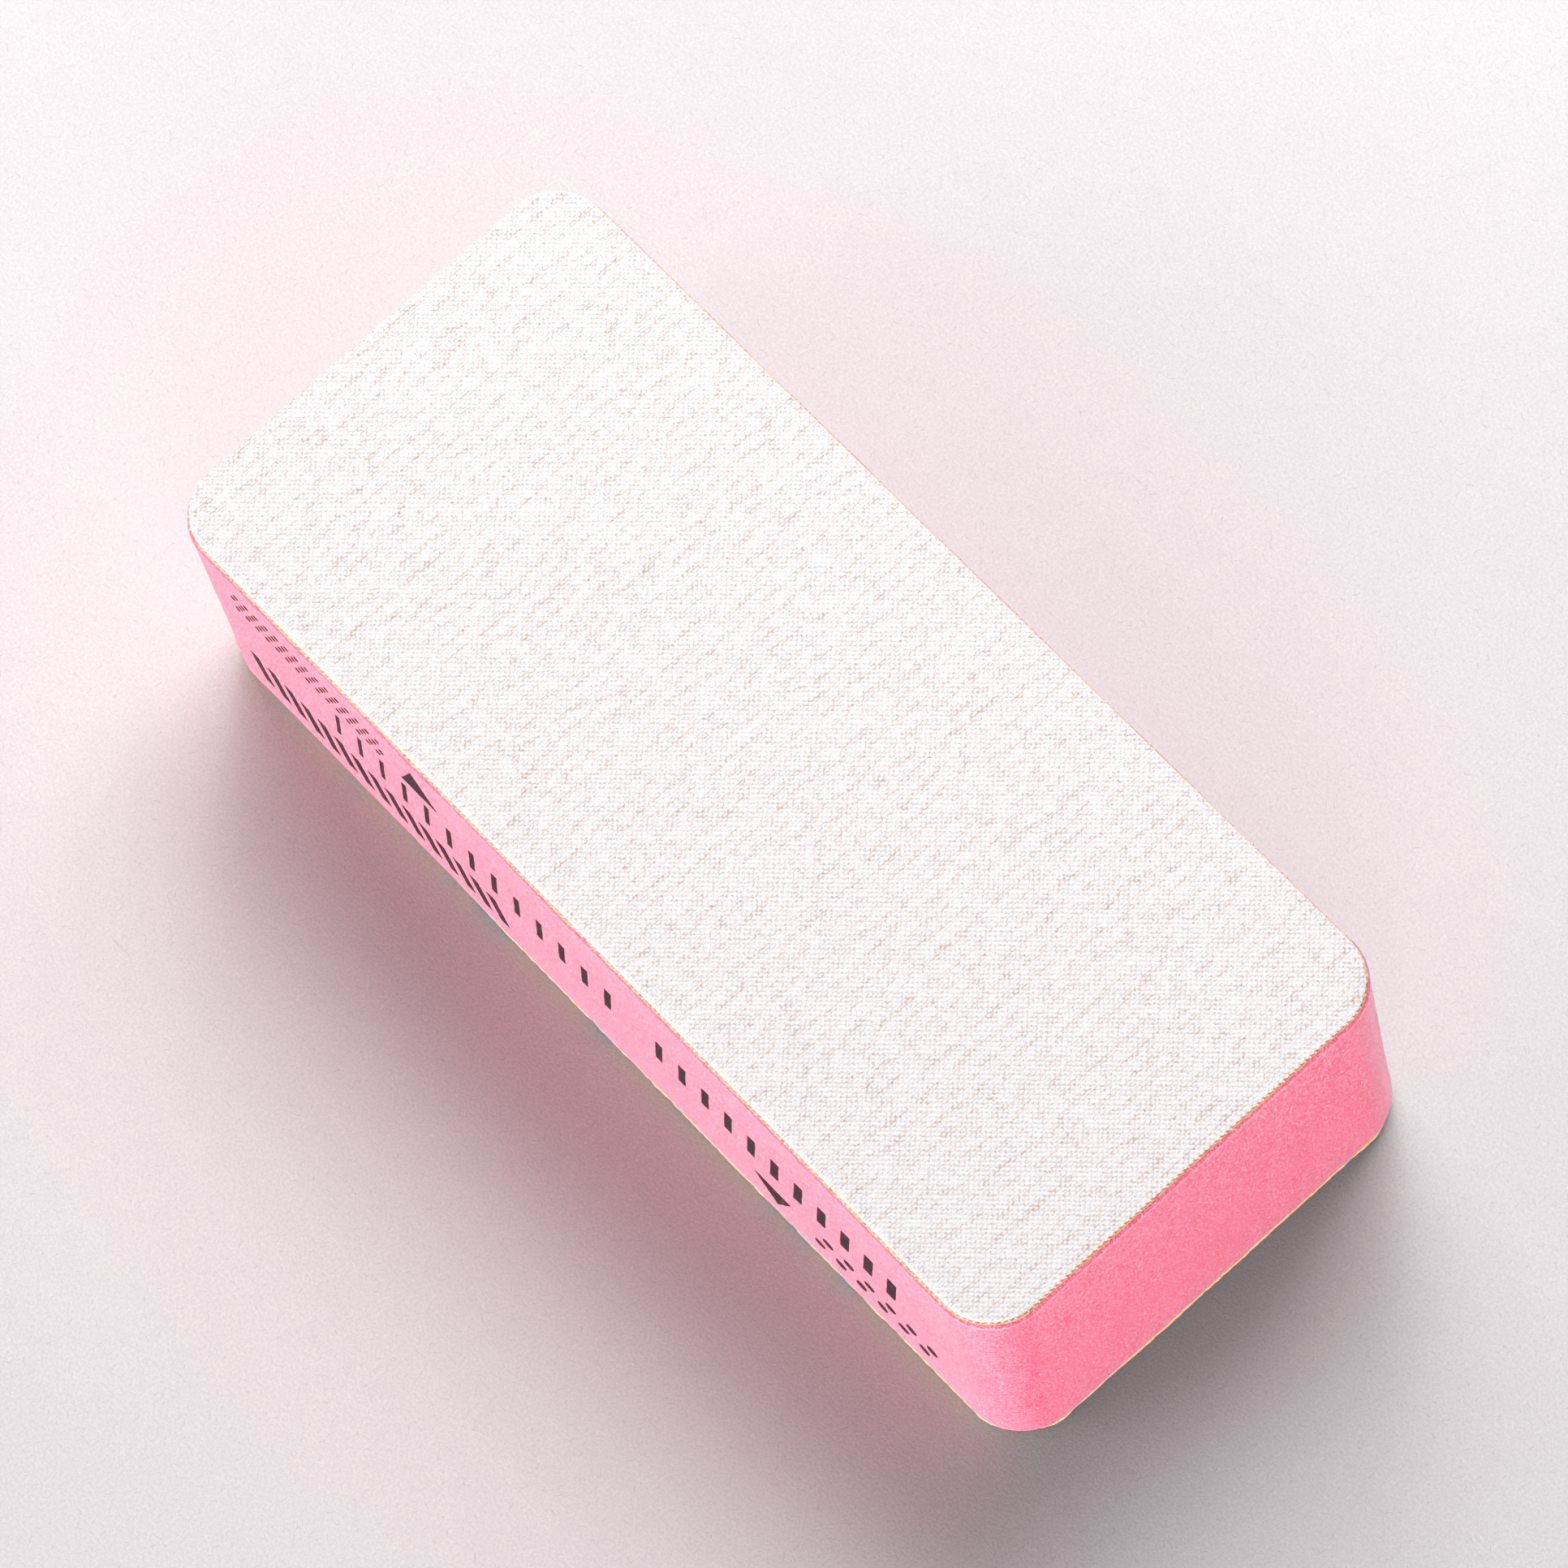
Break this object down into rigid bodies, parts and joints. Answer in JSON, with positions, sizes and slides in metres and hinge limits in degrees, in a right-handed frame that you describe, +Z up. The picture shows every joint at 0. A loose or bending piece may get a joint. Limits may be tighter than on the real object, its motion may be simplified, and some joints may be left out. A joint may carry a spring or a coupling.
{
  "type": "buffer block",
  "caption": "Rounded rectangular two-sided hand buffing block: soft pink foam core, fine white finishing cloth on top and a coarse grit facing underneath.",
  "frame": {"origin": "centre of the underside, on the surface the block rests on", "axes": "+X along the block's length, +Y across its width, +Z up from the rough side to the finishing side; the printed side faces -Y"},
  "size_m": [0.092, 0.0404, 0.0254],
  "materials": {
    "foam": "matte closed-cell foam with a fine cut grain",
    "adhesive": "cured contact adhesive film, satin",
    "cloth": "fine plain-woven backing cloth",
    "polish_coat": "fine white mineral coat, matte",
    "backing": "latex-filled backing sheet, matte",
    "resin": "cured resin coat, satin",
    "grit": "coarse mineral grit, rough",
    "ink": "matte printed ink"
  },
  "bodies": {
    "root": {"foam_core": "foam", "top_adhesive": "adhesive", "top_cloth": "cloth", "top_polish_coat": "polish_coat", "bottom_adhesive": "adhesive", "bottom_backing": "backing", "bottom_resin_coat": "resin", "bottom_grit_coat": "grit", "print_finish_mark": "ink", "print_scale_row": "ink", "print_bold_row": "ink", "print_rough_mark": "ink"}
  },
  "joints": []
}
